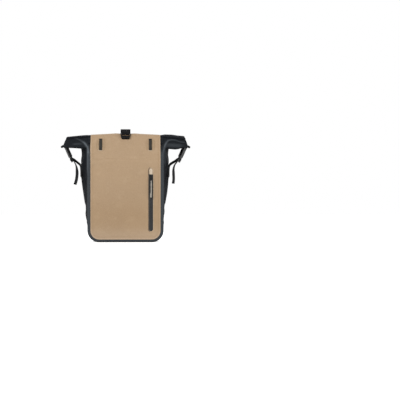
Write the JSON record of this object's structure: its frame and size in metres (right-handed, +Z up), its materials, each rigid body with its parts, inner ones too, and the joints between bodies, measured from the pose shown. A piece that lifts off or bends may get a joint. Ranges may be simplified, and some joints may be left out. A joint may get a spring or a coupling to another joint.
{
  "type": "bicycle pannier bag",
  "caption": "Roll-top fabric pannier with a sand front, black gussets and wings, side release buckles, a front zip and latching rack hooks.",
  "frame": {"origin": "middle of the flat base, at the middle of the body's width and depth", "axes": "+X right as seen from the front, +Y back towards the bicycle rack, +Z up"},
  "size_m": [0.3848, 0.2, 0.3426],
  "materials": {
    "sand_fabric": "matt coated fabric, sand",
    "black_fabric": "matt coated fabric, near black",
    "zip_tape": "coated tape, dark grey",
    "lining": "plain nylon lining, grey",
    "zip_plastic": "moulded nylon, black",
    "pull": "moulded rubber pull, black with a pale rib",
    "webbing": "woven polyester webbing, black",
    "board": "polyethylene sheet, dark grey",
    "hook_plastic": "glass-filled nylon, graphite",
    "buckle_plastic": "acetal, black",
    "liner": "soft rubber, black",
    "steel": "stainless steel"
  },
  "bodies": {
    "bag": {"front_panel": "sand_fabric", "base_gusset": "black_fabric", "left_side_gusset": "black_fabric", "right_side_gusset": "black_fabric", "left_wing": "black_fabric", "right_wing": "black_fabric", "back_panel": "black_fabric", "rear_top_panel": "black_fabric", "roll": "black_fabric", "mouth_battens": "board", "back_board": "board", "front_pocket": "lining", "zip_tape": "zip_tape", "zip_coil": "zip_plastic", "zip_garage": "sand_fabric", "left_lash_patch": "sand_fabric", "right_lash_patch": "sand_fabric", "left_lash_loop": "webbing", "right_lash_loop": "webbing", "top_strap": "webbing", "top_hook_pin": "steel", "top_catch": "sand_fabric", "left_wing_tab": "webbing", "right_wing_tab": "webbing", "left_buckle_male": "buckle_plastic", "right_buckle_male": "buckle_plastic", "left_side_strap": "webbing", "right_side_strap": "webbing", "left_strap_patch": "webbing", "right_strap_patch": "webbing", "top_rail": "hook_plastic", "rail_screws": "steel", "rail_nuts": "steel", "left_hook": "hook_plastic", "right_hook": "hook_plastic", "left_hook_liner": "liner", "right_hook_liner": "liner", "left_hook_screws": "steel", "right_hook_screws": "steel", "left_latch_pin": "steel", "right_latch_pin": "steel", "left_latch_spring": "steel", "right_latch_spring": "steel", "lower_track": "hook_plastic", "track_screws": "steel", "track_nuts": "steel"},
    "zip_slider": {"zip_slider": "zip_plastic"},
    "zip_pull": {"zip_pull": "pull"},
    "top_hook": {"top_hook": "buckle_plastic"},
    "left_female": {"left_buckle_female": "buckle_plastic"},
    "right_female": {"right_buckle_female": "buckle_plastic"},
    "left_latch": {"left_latch": "buckle_plastic"},
    "right_latch": {"right_latch": "buckle_plastic"},
    "lower_slider": {"lower_slider": "steel", "lower_hook_screw": "steel"},
    "lower_hook": {"lower_hook": "buckle_plastic"}
  },
  "joints": [
    {"name": "zip_slide", "type": "slide", "parent": "bag", "child": "zip_slider", "axis": [0, 0, -1], "range_m": [0, 0.13]},
    {"name": "zip_pull_swing", "type": "hinge", "parent": "zip_slider", "child": "zip_pull", "pos_m": [0.077, -0.0773, 0.1945], "axis": [-1, 0, 0], "range_deg": [0, 100]},
    {"name": "top_hook_swing", "type": "hinge", "parent": "bag", "child": "top_hook", "pos_m": [0, -0.02964, 0.3295], "axis": [-1, 0, 0], "range_deg": [0, 75]},
    {"name": "left_buckle_release", "type": "slide", "parent": "bag", "child": "left_female", "axis": [0.4067, 0, -0.9135], "range_m": [0, 0.022], "deforming": ["left_side_strap"]},
    {"name": "right_buckle_release", "type": "slide", "parent": "bag", "child": "right_female", "axis": [-0.4067, 0, -0.9135], "range_m": [0, 0.022], "deforming": ["right_side_strap"]},
    {"name": "left_latch_swing", "type": "hinge", "parent": "bag", "child": "left_latch", "pos_m": [-0.062, 0.0825, 0.2465], "axis": [1, 0, 0], "range_deg": [-75, 0], "stiffness_Nm_per_rad": 0.02, "springref_deg": 28.65, "deforming": ["left_latch_spring"]},
    {"name": "right_latch_swing", "type": "hinge", "parent": "bag", "child": "right_latch", "pos_m": [0.062, 0.0825, 0.2465], "axis": [1, 0, 0], "range_deg": [-75, 0], "stiffness_Nm_per_rad": 0.02, "springref_deg": 28.65, "deforming": ["right_latch_spring"]},
    {"name": "lower_hook_slide", "type": "slide", "parent": "bag", "child": "lower_slider", "axis": [1, 0, 0], "range_m": [-0.038, 0.038]},
    {"name": "lower_hook_swivel", "type": "hinge", "parent": "lower_slider", "child": "lower_hook", "pos_m": [0, 0.0778, 0.104], "axis": [0, 1, 0], "range_deg": [-90, 90]}
  ]
}
